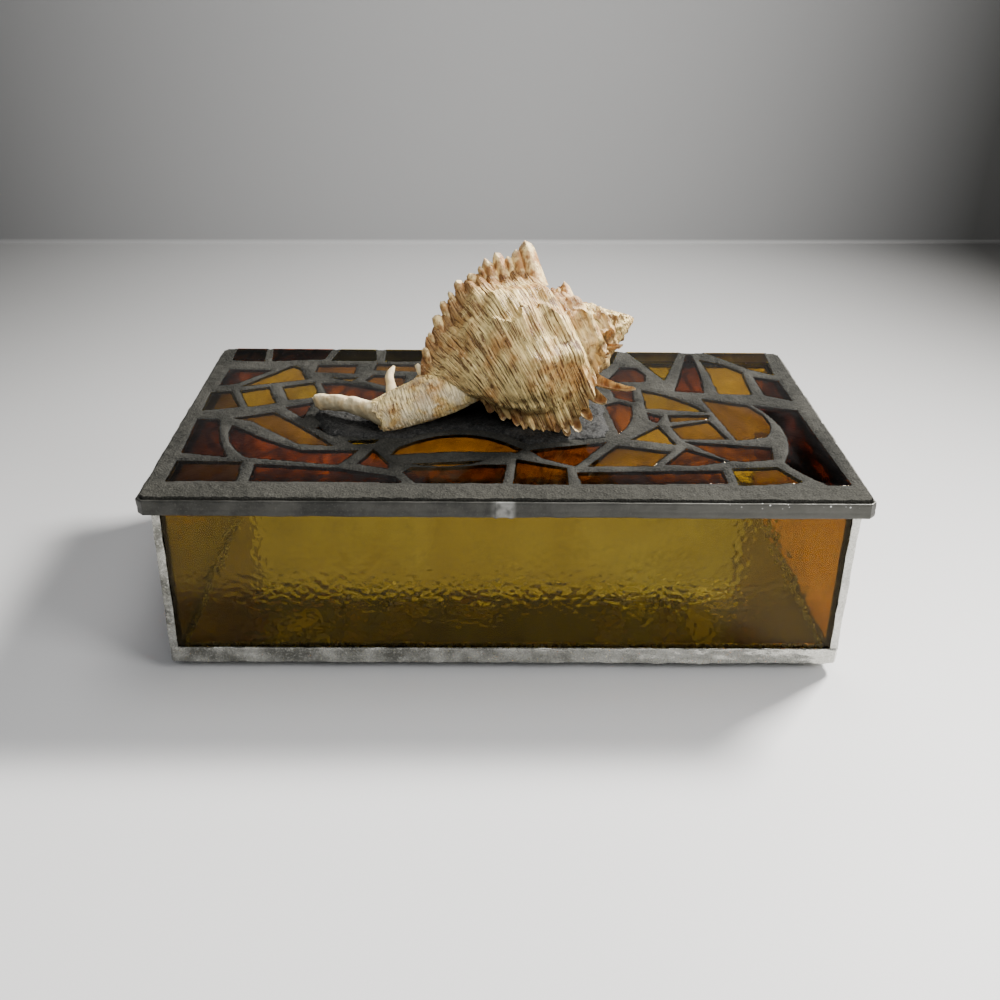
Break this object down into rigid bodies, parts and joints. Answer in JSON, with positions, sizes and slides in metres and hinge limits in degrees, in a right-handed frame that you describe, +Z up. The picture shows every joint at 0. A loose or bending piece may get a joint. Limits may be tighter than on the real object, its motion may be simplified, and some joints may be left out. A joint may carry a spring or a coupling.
{
  "type": "stained glass box",
  "caption": "Rectangular stained glass keepsake box with a lift-off mosaic lid; a spiny sea snail shell set on top is its handle.",
  "frame": {"origin": "on the table, under the middle of the lid", "axes": "+X along the length, to the right seen from the front; -Y towards the front; +Z up"},
  "size_m": [0.21, 0.122, 0.1169],
  "materials": {
    "lead": "dull grey lead edge channel",
    "solder": "wrinkled tinned solder",
    "grout": "granular dark grey grout",
    "bed": "coarse black sand in adhesive",
    "mirror": "silvered glass",
    "shell": "dry natural shell, cream with brown lines",
    "clear": "clear sheet glass",
    "hammered_amber": "hammered yellow amber glass",
    "amber": "streaky amber glass",
    "yellow": "streaky yellow glass",
    "olive": "olive yellow glass",
    "brown": "warm brown glass",
    "dark": "dark red brown glass"
  },
  "bodies": {
    "root": {"foot_channel": "solder", "front_pane": "hammered_amber", "back_pane": "hammered_amber", "left_pane": "amber", "right_pane": "amber", "mirror_floor": "mirror", "lid_channel": "lead", "lid_base_glass": "clear", "grout": "grout", "shell": "shell", "shell_bed": "bed", "front_right_strip": "solder", "front_left_strip": "solder", "back_right_strip": "solder", "back_left_strip": "solder", "front_left_tile": "amber", "front_long_tile": "dark", "front_wavy_tile": "dark", "front_square_tile": "brown", "front_strip_tile": "brown", "front_right_tile": "yellow", "right_dark_tile": "dark", "left_square_tile": "brown", "left_long_tile": "dark", "left_leaf_tile": "amber", "small_front_tile": "dark", "half_moon_tile": "amber", "under_shell_tile": "brown", "centre_right_tile": "amber", "roof_tile": "brown", "keel_tile": "brown", "yellow_triangle_tile": "yellow", "tilted_tile": "amber", "right_round_tile": "amber", "right_wing_tile": "yellow", "shield_tile": "brown", "right_middle_tile": "brown", "olive_tile": "olive", "left_yellow_tile": "yellow", "second_yellow_tile": "yellow", "pale_triangle_tile": "yellow", "left_dark_tile": "dark", "rear_left_tile": "brown", "rear_second_tile": "dark", "rear_third_tile": "olive", "rear_fourth_tile": "olive", "rear_fifth_tile": "brown", "rear_sixth_tile": "amber", "rear_seventh_tile": "yellow", "small_amber_tile": "amber", "left_brown_tile": "brown", "canal_amber_tile": "amber", "long_amber_tile": "amber", "hidden_amber_tile": "amber", "spire_tile": "brown", "rear_triangle_tile": "yellow", "red_tile": "dark", "right_yellow_tile": "yellow", "rear_right_tile": "yellow", "right_brown_tile": "brown"}
  },
  "joints": []
}
